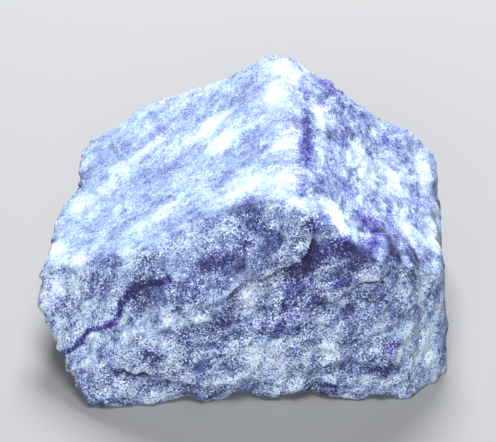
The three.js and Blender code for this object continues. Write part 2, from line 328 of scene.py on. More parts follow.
# The relief: the sizes and seeds of its noise and its break planes, and how sharply those meet. The
# bending moves points by WARP_REACH, a smooth break keeps the share SWELL_LEAST of the swell, and
# WEAR_OFFSET is added to the wear's noise, so that more of the edges is worn.
WARP_SIZE, WARP_REACH, WARP_SEEDS = 7.0, 1.6, (31, 32, 33)
SWELL_SIZE, SWELL_LEAST, SWELL_SEED = 19.0, 0.4, 3
SLAB_SIZE, SLAB_SEED, SLAB_SHARPNESS = np.array([14.0, 10.0, 6.0]), 11, 14
FLAKE_SIZE, FLAKE_SEED, FLAKE_SHARPNESS = np.array([6.0, 4.5, 2.8]), 32, 10
CHIPLET_SIZE, CHIPLET_SEED, CHIPLET_SHARPNESS = np.array([2.6, 2.2, 1.8]), 71, 10
CRUMB_SIZE, CRUMB_SEED = 1.5, 61
SPECK_SIZE, SPECK_SEED = 0.9, 62
WEAR_SIZE, WEAR_OFFSET, WEAR_SEED = 5.0, 0.1, 51

# The least cosine between the surface's normal and the direction out of the core that the relief is
# divided by, so that steep faces don't throw up spikes.
STEEPEST = 0.55

# The foot is an oval in the middle of the base with no relief, so that it's flat: its half-length and
# half-depth, the shares of those between which the relief sets in, and the upward parts of the normal
# between which a break stops counting as the base.
FOOT_HALF = (26.0, 17.0)
FOOT_FADE = (0.8, 1.15)
FOOT_LEVEL = (-0.95, -0.8)

# How gently a line fades in and out at its ends, as a share of its length, and the width of a
# ledge's step, from above the rim to below it.
RIM_END = 0.12
STEP_WIDTH = (-0.1, 0.6)

# Each ledge deeper than LEAST_LEDGE gets a painted highlight along its rim and a painted shadow in
# the crack under it: how far they lie below the rim, and their half-width.
RIM_HIGHLIGHT_LINE, RIM_SHADOW_LINE, LINE_WIDTH, LEAST_LEDGE = -0.35, 0.75, 0.4, 1.0

# The dark vein across the left of the front: the pixels that it runs through, and the half-width of
# each stretch between them (mm).
VEIN_PIXELS = (
    (62, 352), (81, 341), (95, 331), (105, 323), (121, 306), (135, 294), (150, 289), (169, 281),
)
VEIN_WIDTHS = (0.5, 0.55, 0.6, 0.65, 0.7, 0.7, 0.6)

# How much the painted highlight along the ledges' rims, the painted shadow in the cracks under
# them, the vein and the indigo patches add to the marks, and the most coarseness.
RIM_HIGHLIGHT, RIM_SHADOW, VEIN_SHADE = 1.1, 2.6, 2.3
INDIGO_VIOLET, VEIN_VIOLET, RIM_HIGHLIGHT_TINT = 0.7, 1.6, 1.8
COARSEST = 0.62

# A sheet of dumortierite low in the stone: its unit normal, its level along that, its half-width, the
# shares of that where it starts and ends fading, its strength and how far it bends.
SHEET_NORMAL, SHEET_LEVEL = (-0.624, -0.028, 0.781), 11.5
SHEET_WIDTH, SHEET_FADE = 1.0, (0.3, 1.2)
SHEET_STRENGTH, SHEET_BEND = 0.35, 2.4

# The material's patterns: the size of a cell along the streaks, across them and through the sheets.
PATTERN_SIZES = {
    "fabric": (18.0, 9.0, 12.0),
    "ragged": (3.6, 2.6, 2.8),
    "zones": (15.0, 9.0, 10.0),
    "wander": (1.6, 1.6, 1.6),
    "clumps": (5.5, 3.6, 4.2),
    "grains": (0.28, 0.24, 0.24),
    "bend": (6.0, 6.0, 6.0),
    "crumbs": (0.9, 0.8, 0.6),
}

# What each pattern is multiplied by, and what is then added, where it joins a mark.
ZONE_VIOLET, RAGGED_VIOLET = (2.0, -1.15), (2.6, -1.3)
CLUMP_VIOLET, GRAIN_VIOLET = (0.5, -0.25), (0.9, -0.45)
CLUMP_GRAIN_AND_GLINT, RAGGED_PATCH, RAGGED_STAIN = (1.6, -0.15), (2.4, -0.2), (2.2, -1.15)

# Between which values the violet and the stain set in, and the most that each covers.
VIOLET_RANGE, STAIN_RANGE = (0.15, 1.35), (0.2, 1.3)
VIOLET_COVER, STAIN_COVER = 0.9, 0.55

# The depth of the grains' relief, how far it dips between them, how much roughness differs from grain
# to grain, and quartz's index of refraction.
BUMP_DEPTH, GRAIN_DIP, ROUGHNESS_SPREAD, QUARTZ_IOR = 0.5, -0.5, 0.3, 1.54

# The softboxes: where each hangs and how wide it is, in metres. All of them light the core.
SOFTBOXES = {
    "back": ((0.02, 0.48, 0.56), 0.30),
    "top": ((0.05, -0.18, 0.62), 0.25),
    "front": ((-0.10, -0.62, 0.28), 0.40),
}
FLOOR_HALF, FLOOR_ROUGHNESS, FLOOR_SPECULAR = 3.0, 0.95, 0.1
SENSOR_WIDTH = 36

# How near to an edge, in mesh cells, a point is drawn towards it.
EDGE_PULL = 0.9

# What brings the noise to about -1 to 1, how far seeds stray from the middle of their cells, and a
# number that stands for nearly nothing.
NOISE_GAIN, CELL_SPREAD, TINY = 1.5, 0.4, 1e-6

# The way that the sheets of grain look (azimuth and elevation in degrees), and roughly the way that
# the streaks run in them.
FOLD, STREAK = (182.6, 51.3), (0.80, 0.35, 0.48)

# Constants of the repeatable scatter
MIX = (0x8DA6B343, 0xD8163841, 0xCB1AB31F)
MIX_SEED = 0x9E3779B1
STIR = (0x2C1B3C6D, 0x297A2D39)
TEN_BITS = 1023
WORD = 0xFFFFFFFF


def unit_vector(azimuth, elevation):
    """The unit vector that looks the way of an azimuth and an elevation, in degrees."""
    turn, rise = math.radians(azimuth), math.radians(elevation)
    flat = math.cos(rise)
    return np.array([math.cos(turn) * flat, math.sin(turn) * flat, math.sin(rise)])


def grain_axes():
    """The rock's own axes: streak along the sheets of grain, across it in them, and fold square to
    them."""
    fold = unit_vector(*FOLD)
    streak = np.array(STREAK)
    streak = streak - streak.dot(fold) * fold
    streak /= np.linalg.norm(streak)
    return np.array([streak, np.cross(fold, streak), fold])


GRAIN = grain_axes()

# How the patches of each face lie: their axes, how far they reach along those for a pixel of
# half-width and for a pixel of half-height, and how far they reach in any case.
PATCH_FACES = {
    "front": (np.eye(3), np.array([0.23, 0, 0]), np.array([0, 0, 0.27]), np.array([0, 3.0, 0])),
    "left roof": (GRAIN, np.array([0.30, 0, 0]), np.array([0, 0.30, 0]), np.array([0, 0, 2.5])),
    "right roof": (GRAIN, np.array([0, 0, 0.26]), np.array([0, 0.43, 0]), np.array([3.0, 0, 0])),
}


def smooth_step(low, high, x):
    """0 below low, 1 above high, and the S-curve 3t^2 - 2t^3 between them."""
    t = np.clip((x - low) / (high - low), 0, 1)
    return t * t * (3 - 2 * t)


def scatter(cells, seed):
    """Three repeatable numbers between -1 and 1 for each lattice cell: its whole-number place is
    multiplied into one 32-bit word, which is stirred and read ten bits at a time."""
    cells = cells.astype(np.int64).astype(np.uint32)
    word = np.full(cells.shape[:-1], (seed * MIX_SEED) & WORD, dtype=np.uint32)
    for axis, factor in enumerate(MIX):
        word = word + cells[..., axis] * np.uint32(factor)
    word ^= word >> np.uint32(15)
    word *= np.uint32(STIR[0])
    word ^= word >> np.uint32(12)
    word *= np.uint32(STIR[1])
    word ^= word >> np.uint32(15)
    thirds = [(word >> np.uint32(shift)) & np.uint32(TEN_BITS) for shift in (0, 10, 20)]
    return np.stack(thirds, -1) * (2.0 / TEN_BITS) - 1


def smooth_noise(points, seed):
    """Smooth noise of about -1 to 1: each corner of a unit cell has a random slope, and the slopes'
    values are blended across the cell by 6t^5 - 15t^4 + 10t^3 along each axis."""
    cell = np.floor(points)
    inside = points - cell
    blend = inside ** 3 * (inside * (inside * 6 - 15) + 10)
    total = np.zeros(points.shape[:-1])
    for corner in np.ndindex(2, 2, 2):
        step = np.array(corner)
        weight = np.where(step, blend, 1 - blend).prod(-1)
        total += weight * ((inside - step) * scatter(cell + step, seed)).sum(-1)
    return NOISE_GAIN * total


def break_planes(points, seed, sharpness):
    """Small break planes: each scattered seed has a tilted plane of its own height, and a point takes
    the mean of the planes around it, weighted by exp(-sharpness x squared distance to the seed)."""
    cell = np.floor(points)
    distances, levels = [], []
    for step in np.ndindex(3, 3, 3):
        place = cell + (np.array(step) - 1)
        off = points - (place + 0.5 + CELL_SPREAD * scatter(place, seed))
        distances.append((off * off).sum(-1))
        levels.append(scatter(place, seed + 2)[..., 0] + (off * scatter(place, seed + 1)).sum(-1))
    distances = np.stack(distances)
    weights = np.exp(-sharpness * (distances - distances.min(0)))
    return (weights * np.stack(levels)).sum(0) / weights.sum(0)


def breaks_along(directions):
    """The breaks that each direction out of the core meets: 1 / the distance to each (0 where it
    isn't met), its unit normal, and that normal over its distance from the core. The chip's print
    is met where the direction first touches its ball."""
    faces = np.array([unit_vector(a, e) for a, e, _, _ in BREAK_FACES.values()])
    distance = np.array([d for _, _, d, _ in BREAK_FACES.values()])
    count = len(directions)
    normals = np.broadcast_to(faces, (count, *faces.shape))
    planes = normals / distance[:, None]
    near = np.clip(directions @ (faces / distance[:, None]).T, 0, None)

    to_ball = CHIP_CENTRE - CORE
    along = directions @ to_ball
    under = along ** 2 - (to_ball @ to_ball - CHIP_RADIUS ** 2)
    reach = np.where((along > 0) & (under > 0), along - np.sqrt(np.clip(under, 0, None)), np.inf)
    touch = np.where(np.isfinite(reach), reach, 1.0)
    print_normal = (to_ball - directions * touch[:, None]) / CHIP_RADIUS
    facing = (print_normal * directions).sum(1)
    print_plane = print_normal / np.clip(facing * touch, TINY, None)[:, None]
    return (
        np.column_stack([near, 1 / reach]),
        np.concatenate([normals, print_normal[:, None]], 1),
        np.concatenate([planes, print_plane[:, None]], 1),
    )


def draw_to_edges(directions, reach):
    """Turns the directions that are within reach (radians) of an edge towards the plane through the
    core and that edge: an angle a becomes a x (a / reach)^2, so the mesh follows the edges."""
    near, _, planes = breaks_along(directions)
    order = np.argsort(-near, 1)
    rows = np.arange(len(directions))
    edge = planes[rows, order[:, 0]] - planes[rows, order[:, 1]]
    edge /= np.linalg.norm(edge, axis=1)[:, None]
    off = (directions * edge).sum(1)
    share = np.clip(np.abs(off) / reach, 0, 1)
    turned = directions + edge * (off * (share ** 2 - 1))[:, None]
    return turned / np.linalg.norm(turned, axis=1)[:, None]


def broken_block(directions, sharpness):
    """The stone without relief. The radius is (sum of (1 / distance)^sharpness)^(-1 / sharpness)
    over the breaks, so the nearest break decides and the edges are a little round; each break's
    share of the sum weighs its normal and its roughness."""
    near, normals, _ = breaks_along(directions)
    shares = near ** sharpness
    total = shares.sum(1)
    facing = np.clip(np.einsum("ijk,ik->ij", normals, directions), TINY, None)
    normal = np.einsum("ij,ijk->ik", shares / facing, normals)
    normal /= np.linalg.norm(normal, axis=1)[:, None]
    own = np.array([r for _, _, _, r in BREAK_FACES.values()] + [CHIP_ROUGHNESS])
    return {
        "radius": total ** (-1 / sharpness),
        "normal": normal,
        "roughness": shares @ own / total,
        "edge": 1 - shares.max(1) / total,
    }


def beside_line(points, start, end):
    """How far each point lies below the plane through a line and the core, and a share that is 1
    between the ends of the line, and 0 beyond them and behind the core."""
    spots, start, end = points - CORE, np.array(start) - CORE, np.array(end) - CORE
    down = np.cross(start, end)
    down /= -np.linalg.norm(down) if down[2] > 0 else np.linalg.norm(down)
    line = end - start
    along = (spots - start) @ line / (line @ line)
    ends = smooth_step(-RIM_END, RIM_END, along) * (1 - smooth_step(1 - RIM_END, 1 + RIM_END, along))
    return spots @ down, np.where(spots @ (start + end) > 0, ends, 0)


def ledge_depth(points):
    """How much deeper the ledges make the surface: depth x a smooth step down below each rim, that
    fades as exp(-distance / fade)."""
    sunk = np.zeros(len(points))
    for start, end, deep, fade in LEDGES.values():
        below, ends = beside_line(points, start, end)
        sunk += deep * ends * smooth_step(*STEP_WIDTH, below) * np.exp(-np.clip(below, 0, None) / fade)
    return sunk


def line_strength(points, lines, level=0.0):
    """Bands along lines, level millimetres below them: exp(-(distance / half-width)^2)."""
    strength = np.zeros(len(points))
    for start, end, half in lines:
        below, ends = beside_line(points, start, end)
        strength += ends * np.exp(-((below - level) / half) ** 2)
    return strength


def lump_height(points):
    """The sum of the swellings, each height x exp(-(distance / radius)^2)."""
    height = np.zeros(len(points))
    for centre, radius, high in LUMPS.values():
        height += high * np.exp(-((points - np.array(centre)) ** 2).sum(1) / radius ** 2)
    return height


def bend(points):
    """Moves points by up to a few millimetres of slow noise, so that what is laid out along straight
    lines and planes wanders as it does in rock."""
    warp = np.stack([smooth_noise(points / WARP_SIZE, seed) for seed in WARP_SEEDS], -1)
    return points + WARP_REACH * warp


def relief(points, bent, block, stone, fine):
    """How far the surface moves out along its normal: a broad swell, break planes laid along the
    rock's sheets, worn edges, ledges and lumps, all faded out over the foot. Fine adds the smallest
    break planes, the crumbs and the specks."""
    in_grain = bent @ GRAIN.T
    rough = block["roughness"]
    swelling = SWELL_LEAST + (1 - SWELL_LEAST) * rough
    height = stone.swell * smooth_noise(points / SWELL_SIZE, SWELL_SEED) * swelling
    height += rough * stone.slabs * break_planes(in_grain / SLAB_SIZE, SLAB_SEED, SLAB_SHARPNESS)
    height += rough * stone.flakes * break_planes(in_grain / FLAKE_SIZE, FLAKE_SEED, FLAKE_SHARPNESS)
    if fine:
        chiplets = break_planes(in_grain / CHIPLET_SIZE, CHIPLET_SEED, CHIPLET_SHARPNESS)
        height += rough * stone.chiplets * chiplets
        height += rough * stone.crumbs * smooth_noise(bent / CRUMB_SIZE, CRUMB_SEED)
        height += rough * stone.specks * smooth_noise(points / SPECK_SIZE, SPECK_SEED)
    nicks = np.clip(smooth_noise(points / WEAR_SIZE, WEAR_SEED) + WEAR_OFFSET, 0, None)
    height -= stone.wear * block["edge"] * nicks
    height += lump_height(bent) - ledge_depth(bent)
    downwards = 1 - smooth_step(*FOOT_LEVEL, block["normal"][:, 2])
    from_middle = np.hypot(points[:, 0] / FOOT_HALF[0], points[:, 1] / FOOT_HALF[1])
    return height * (1 - downwards * (1 - smooth_step(*FOOT_FADE, from_middle)))


def carve(directions, stone, fine=True):
    """How far the surface lies from the core along each direction, at block radius + relief /
    cos(slope), with the block and its bent points, which the marks use."""
    block = broken_block(directions, stone.sharpness)
    on_block = CORE + directions * block["radius"][:, None]
    bent = bend(on_block)
    slope = np.clip((block["normal"] * directions).sum(1), STEEPEST, 1)
    radius = block["radius"] + relief(on_block, bent, block, stone, fine) / slope
    return radius, bent, block


def box_lattice(step):
    """The surface of a box as six grids of (s, t) whose borders are shared: the points, and the
    four-sided faces, turned to face outwards."""
    cells = [int(round(size / step)) for size in BOX_SIZE]
    faces = []
    for fixed in range(3):
        first, second = (fixed + 1) % 3, (fixed + 2) % 3
        s, t = np.meshgrid(np.arange(cells[first] + 1), np.arange(cells[second] + 1), indexing="ij")
        for level in (cells[fixed], 0):
            grid = np.zeros((*s.shape, 3), dtype=int)
            grid[..., fixed] = level
            grid[..., first] = s
            grid[..., second] = t
            quads = np.stack([grid[:-1, :-1], grid[1:, :-1], grid[1:, 1:], grid[:-1, 1:]], 2)
            faces.append((quads if level else quads[:, :, ::-1]).reshape(-1, 4, 3))
    corners = np.concatenate(faces)
    lattice, index = np.unique(corners.reshape(-1, 3), axis=0, return_inverse=True)
    return (lattice / np.array(cells) - 0.5) * np.array(BOX_SIZE), index.reshape(-1, 4)


def stone_surface(stone):
    """The stone's points, faces, block and bent points. Each lattice point of the box gives a
    direction out of the core, and the surface never goes below the level of the base."""
    box, faces = box_lattice(stone.step)
    length = np.linalg.norm(box, axis=1)
    directions = draw_to_edges(box / length[:, None], EDGE_PULL * stone.step / length)
    radius, bent, block = carve(directions, stone)
    downward = directions[:, 2] < 0
    to_base = np.where(downward, CORE[2] / np.where(downward, -directions[:, 2], 1), np.inf)
    points = CORE + directions * np.minimum(radius, to_base)[:, None]
    points[radius >= to_base, 2] = 0
    return points, faces, block, bent


def to_place_step(lengths):
    """Lengths to the nearest PLACE_STEP."""
    return np.round(np.asarray(lengths) / PLACE_STEP) * PLACE_STEP


def seen_place(across, down, stone, behind=0.0):
    """The place on the stone that a pixel of the photograph shows: where the line of sight through it
    first comes below the surface without its fine grain, or as far behind that as asked for. For each
    pixel to the right of the core's or above it, the line leans right or up by pixel size / camera
    distance."""
    rise = math.radians(CAMERA_RISE)
    back = np.array([0.0, -math.cos(rise), math.sin(rise)])
    right = np.array([1.0, 0.0, 0.0])
    off_centre = (across - MIDDLE_ACROSS) * right + (MIDDLE_DOWN - down) * np.cross(back, right)
    sight = off_centre * PIXEL / CAMERA_DISTANCE - back
    sight /= np.linalg.norm(sight)
    steps = np.arange(SIGHT_START, SIGHT_END, SIGHT_STEP)
    points = CORE + back * CAMERA_DISTANCE + steps[:, None] * sight
    lengths = np.linalg.norm(points - CORE, axis=1)
    radius, _, _ = carve((points - CORE) / lengths[:, None], stone, fine=False)
    inside = lengths < radius
    if not inside.any():
        raise ValueError(f"Pixel {across}, {down} doesn't show the stone")
    return to_place_step(points[inside.argmax()] + behind * sight)


def vein_line(stone):
    """The vein as stretches that follow on: start, end and half-width."""
    places = [seen_place(across, down, stone) for across, down in VEIN_PIXELS]
    return list(zip(places[:-1], places[1:], VEIN_WIDTHS))


def patch_strength(points, kind, stone):
    """The sum of one kind of patch at each point: strength x (1 in the middle, a half at the stated
    size, 0 at PATCH_REACH times it), in an ellipsoid that lies along the stone's axes in the front
    and along the rock's own in the roofs."""
    strength = np.zeros(len(points))
    for face, (axes, by_width, by_height, depth) in PATCH_FACES.items():
        patches = PATCHES.get((kind, face), {})
        for across, down, wide, high, full, *behind in patches.values():
            centre = seen_place(across, down, stone, *behind)
            halves = to_place_step(wide * by_width + high * by_height + depth)
            halves = np.maximum(halves, PLACE_STEP)
            off = np.linalg.norm((points - centre) @ axes.T / halves, axis=1) / PATCH_REACH
            strength += full * (1 - smooth_step(PATCH_MIDDLE, 1, off))
    return strength


def rock_marks(points, bent, block, stone):
    """What the material reads at each point: how much lighter, more violet and more stained the rock
    is there than elsewhere, with the painted highlight and shadow along the ledges, the painted
    light along the lowest edge and the painted light and shade in some patches, and how coarsely
    it broke."""
    rims = [(start, end, LINE_WIDTH) for start, end, deep, _ in LEDGES.values() if deep > LEAST_LEDGE]
    # edge is the painted highlight along each ledge's rim, and crack the painted shadow under it.
    edge = line_strength(bent, rims, RIM_HIGHLIGHT_LINE)
    crack = line_strength(bent, rims, RIM_SHADOW_LINE)
    vein = line_strength(bent, vein_line(stone))
    # Lighter and beige along the lowest edge: crushed grains, and painted rim light.
    foot_light_and_bruise = 1 - smooth_step(*FOOT_LIGHT_HEIGHTS, points[:, 2])
    indigo, slate, cobalt, pale, beige = (
        patch_strength(points, kind, stone) for kind in ("indigo", "slate", "cobalt", "pale", "beige")
    )
    # The painted highlight on the rims, the painted shadow under them, and the dark vein.
    lines = RIM_HIGHLIGHT * edge - RIM_SHADOW * crack - VEIN_SHADE * vein
    return {
        "light": pale - slate - indigo + foot_light_and_bruise + lines,
        "violet": cobalt + INDIGO_VIOLET * indigo + VEIN_VIOLET * vein,
        "beige": beige + foot_light_and_bruise + RIM_HIGHLIGHT_TINT * edge,
        "coarse": np.minimum(block["roughness"], COARSEST),
    }


def linear(colour):
    """An sRGB hex colour such as "#8FA0D4" as linear red, green, blue and 1 for opaque."""
    shares = [int(colour[i:i + 2], 16) / 255 for i in (1, 3, 5)]
    return tuple(c / 12.92 if c <= 0.04045 else ((c + 0.055) / 1.055) ** 2.4 for c in shares) + (1.0,)


def add_node(tree, kind, inputs=None, stops=None, **settings):
    """Adds a shader node with its settings, links or sets its inputs, and fills a ramp."""
    node = tree.nodes.new("ShaderNode" + kind)
    for name, value in settings.items():
        setattr(node, name, value)
    for name, value in (inputs or {}).items():
        if isinstance(value, bpy.types.NodeSocket):
            tree.links.new(value, node.inputs[name])
        else:
            node.inputs[name].default_value = value
    for i, (position, colour) in enumerate(stops or ()):
        elements = node.color_ramp.elements
        element = elements[i] if i < 2 else elements.new(position)
        element.position = position
        element.color = colour
    return node


# The inputs of a colour Mix node, which has several of one name, and the scale of a vector's node.
MIX_A, MIX_B, VECTOR_SCALE = 6, 7, 3


def aventurine_material(looks):
    """Blue aventurine, a quartzite as it breaks from the rock: glassy quartz grains with needles of
    blue dumortierite between them. That gives the eye a sugary, satin surface whose grains differ
    far more in lightness than in hue, violet blue where the needles crowd, with grains that glint by
    their tilted faces and painted glints, single grains made lighter in the colour."""
    material = bpy.data.materials.new("Blue aventurine quartzite, rough broken")
    material.use_nodes = True
    tree = material.node_tree
    tree.nodes.clear()

    place = add_node(tree, "TexCoord").outputs["Object"]
    to_mm = {0: place, VECTOR_SCALE: 1 / MM}
    in_mm = add_node(tree, "VectorMath", to_mm, operation="SCALE").outputs[0]
    turn = Matrix(GRAIN.tolist()).to_euler()
    in_grain = add_node(tree, "Mapping", {"Vector": in_mm, "Rotation": turn}).outputs[0]

    def pattern(name, kind="TexNoise", source=in_grain, **inputs):
        """A texture whose cells have the size that PATTERN_SIZES gives."""
        cells = {0: source, 1: [1 / size for size in PATTERN_SIZES[name]]}
        scaled = add_node(tree, "VectorMath", cells, operation="MULTIPLY").outputs[0]
        return add_node(tree, kind, {"Vector": scaled, "Scale": 1.0, **inputs})

    def calc(operation, a, b=0.0, c=0.0, clamp=False):
        inputs = {0: a, 1: b, 2: c}
        return add_node(tree, "Math", inputs, operation=operation, use_clamp=clamp).outputs[0]

    def mix(share, first, second):
        inputs = {0: share, MIX_A: first, MIX_B: second}
        return add_node(tree, "Mix", inputs, data_type="RGBA").outputs[2]

    def mark(name):
        return add_node(tree, "Attribute", attribute_name=name).outputs["Fac"]

    def split(colour):
        return add_node(tree, "SeparateColor", {0: colour}).outputs

    def soft_mask(value, low, high):
        inputs = {"Value": value, "From Min": low, "From Max": high}
        return add_node(tree, "MapRange", inputs, interpolation_type="SMOOTHSTEP").outputs[0]

    def ramp(value, colours):
        stops = [(i / (len(colours) - 1), linear(colour)) for i, colour in enumerate(colours)]
        stops = [stops[0], stops[-1], *stops[1:-1]]
        return add_node(tree, "ValToRGB", {"Fac": value}, stops=stops).outputs["Color"]

    # The rock's fabric: cloudy at 5 to 20 mm, and broken up into ragged clumps of up to 5 mm.
    fabric = pattern("fabric", Detail=3.0, Roughness=0.7).outputs["Fac"]
    ragged = split(pattern("ragged", Detail=4.0, Roughness=0.85).outputs["Color"])
    zones = pattern("zones", Detail=2.0).outputs["Fac"]
    wander = pattern("wander", Detail=3.0, Roughness=0.8).outputs["Color"]
    reach = {0: wander, VECTOR_SCALE: looks.warp}
    reach = add_node(tree, "VectorMath", reach, operation="SCALE").outputs[0]
    wandered = {0: in_grain, 1: reach}
    wandered = add_node(tree, "VectorMath", wandered, operation="ADD").outputs[0]
    clumps = pattern("clumps", "TexVoronoi", wandered, Detail=3.0, Roughness=0.9)
    clumps.normalize = True
    clump = split(clumps.outputs["Color"])
    # Grains of 0.2 to 0.3 mm.
    grains = pattern("grains", "TexVoronoi")
    grain = split(grains.outputs["Color"])

    # Dumortierite: the placed marks, the low sheet and scattered zones.
    waves = pattern("bend", source=in_mm, Detail=2.0).outputs["Fac"]
    across = {0: in_mm, 1: SHEET_NORMAL}
    along_normal = add_node(tree, "VectorMath", across, operation="DOT_PRODUCT").outputs["Value"]
    level = calc("MULTIPLY_ADD", waves, SHEET_BEND, along_normal)
    off = calc("ABSOLUTE", calc("SUBTRACT", level, SHEET_LEVEL + SHEET_BEND / 2))
    beside = soft_mask(off, SHEET_FADE[0] * SHEET_WIDTH, SHEET_FADE[1] * SHEET_WIDTH)
    violet = calc("MULTIPLY_ADD", calc("SUBTRACT", 1.0, beside), SHEET_STRENGTH, mark("violet"))
    violet = calc("ADD", violet, calc("MULTIPLY_ADD", zones, *ZONE_VIOLET, clamp=True))
    violet = calc("ADD", violet, calc("MULTIPLY_ADD", ragged[1], *RAGGED_VIOLET))
    crowding = calc("ADD", violet, calc("MULTIPLY_ADD", clump[1], *CLUMP_VIOLET))
    violet = calc("ADD", crowding, calc("MULTIPLY_ADD", grain[1], *GRAIN_VIOLET))
    violet = soft_mask(violet, *VIOLET_RANGE)

    # Lightness, from 0 to 1: rougher breaks have more contrast.
    contrast = calc("MULTIPLY_ADD", mark("coarse"), looks.contrast, looks.least_contrast)
    light = calc("SUBTRACT", fabric, 0.5)
    light = calc("MULTIPLY_ADD", calc("SUBTRACT", clump[0], 0.5), looks.clumps, light)
    grain_and_glint_contrast = calc("MULTIPLY", contrast, calc("MULTIPLY_ADD", clump[2], *CLUMP_GRAIN_AND_GLINT, clamp=True))
    grain_light = calc("MULTIPLY", calc("SUBTRACT", grain[0], 0.5), grain_and_glint_contrast)
    light = calc("MULTIPLY_ADD", grain_light, looks.grains, light)
    light = calc("MULTIPLY_ADD", light, contrast, looks.lightness)
    # Rough breaks are painted darker: painted shade on the front, which the lights reach less than the roofs.
    light = calc("MULTIPLY_ADD", mark("coarse"), -looks.rough_painted_shade, light)
    # The placed marks: rock colour, and painted light and shade along the ledges, the lowest edge and in some
    # patches.
    broken_up = calc("MULTIPLY_ADD", ragged[0], *RAGGED_PATCH)
    light = calc("MULTIPLY_ADD", calc("MULTIPLY", mark("light"), broken_up), looks.patches, light)
    light = calc("MULTIPLY_ADD", violet, -looks.needle_shade, light)
    # Single dark grains: needles, most of them where they crowd, and partly painted shade of single
    # grains. Painted glints: single grains made lighter in the colour.
    dark = calc("GREATER_THAN", calc("MULTIPLY_ADD", crowding, looks.crowding, grain[2]), 1 - looks.specks)
    light = calc("MULTIPLY_ADD", calc("MULTIPLY", dark, contrast), -looks.speck_shade, light)
    painted_glint = calc("LESS_THAN", grain[2], looks.painted_glints)
    light = calc("MULTIPLY_ADD", calc("MULTIPLY", painted_glint, grain_and_glint_contrast), looks.painted_glint_light, light)

    # Iron-stained and grey quartz, and the beige tint of the painted highlights along the ledges' rims
    # and the lowest edge.
    stain = calc("ADD", mark("beige"), calc("MULTIPLY_ADD", ragged[2], *RAGGED_STAIN))
    stain = soft_mask(stain, *STAIN_RANGE)

    colour = ramp(light, looks.quartz.split())
    colour = mix(calc("MULTIPLY", stain, STAIN_COVER), colour, ramp(light, looks.stained.split()))
    colour = mix(calc("MULTIPLY", violet, VIOLET_COVER), colour, ramp(light, looks.needles.split()))

    # Broken grains stand up from each other by a few tenths of a millimetre, and each breaks at its
    # own angle, which makes the sparkle.
    crumbs = pattern("crumbs", Detail=3.0, Roughness=0.7).outputs["Fac"]
    height = calc("MULTIPLY_ADD", grains.outputs["Distance"], GRAIN_DIP, crumbs)
    bump = {"Height": height, "Strength": looks.bump, "Distance": BUMP_DEPTH * MM}
    bumped = add_node(tree, "Bump", bump).outputs[0]
    tilt = {0: grains.outputs["Color"], 1: (-0.5, -0.5, -0.5)}
    tilt = add_node(tree, "VectorMath", tilt, operation="ADD").outputs[0]
    tilt = {0: tilt, VECTOR_SCALE: looks.sparkle}
    tilt = add_node(tree, "VectorMath", tilt, operation="SCALE").outputs[0]
    normal = add_node(tree, "VectorMath", {0: bumped, 1: tilt}, operation="ADD").outputs[0]
    normal = add_node(tree, "VectorMath", {0: normal}, operation="NORMALIZE").outputs[0]
    least = looks.roughness - ROUGHNESS_SPREAD / 2
    roughness = calc("MULTIPLY_ADD", grain[1], ROUGHNESS_SPREAD, least)

    shading = {"Base Color": colour, "Roughness": roughness, "Normal": normal}
    shading.update({"Metallic": 0.0, "IOR": QUARTZ_IOR})
    surface = add_node(tree, "BsdfPrincipled", shading)
    add_node(tree, "OutputMaterial", {"Surface": surface.outputs[0]})
    return material


class StoneSettings(bpy.types.PropertyGroup):
    """The stone's surface."""
    step: bpy.props.FloatProperty(
        name="Mesh step", description="Size of a mesh cell, mm", default=0.5, min=0.4)
    sharpness: bpy.props.FloatProperty(
        name="Edge sharpness", description="How sharply break faces meet", default=64)
    swell: bpy.props.FloatProperty(name="Swell", description="Height of the broad swell, mm", default=0.9)
    slabs: bpy.props.FloatProperty(
        name="Slabs", description="Height of the largest break planes, mm", default=0.85)
    flakes: bpy.props.FloatProperty(
        name="Flakes", description="Height of the middle break planes, mm", default=0.5)
    chiplets: bpy.props.FloatProperty(
        name="Chiplets", description="Height of the small break planes, mm", default=0.58)
    crumbs: bpy.props.FloatProperty(name="Crumbs", description="Height of the coarse grain, mm", default=0.36)
    specks: bpy.props.FloatProperty(name="Specks", description="Height of the fine grain, mm", default=0.22)
    wear: bpy.props.FloatProperty(
        name="Wear", description="Depth of the nicks along the edges, mm", default=1.5)


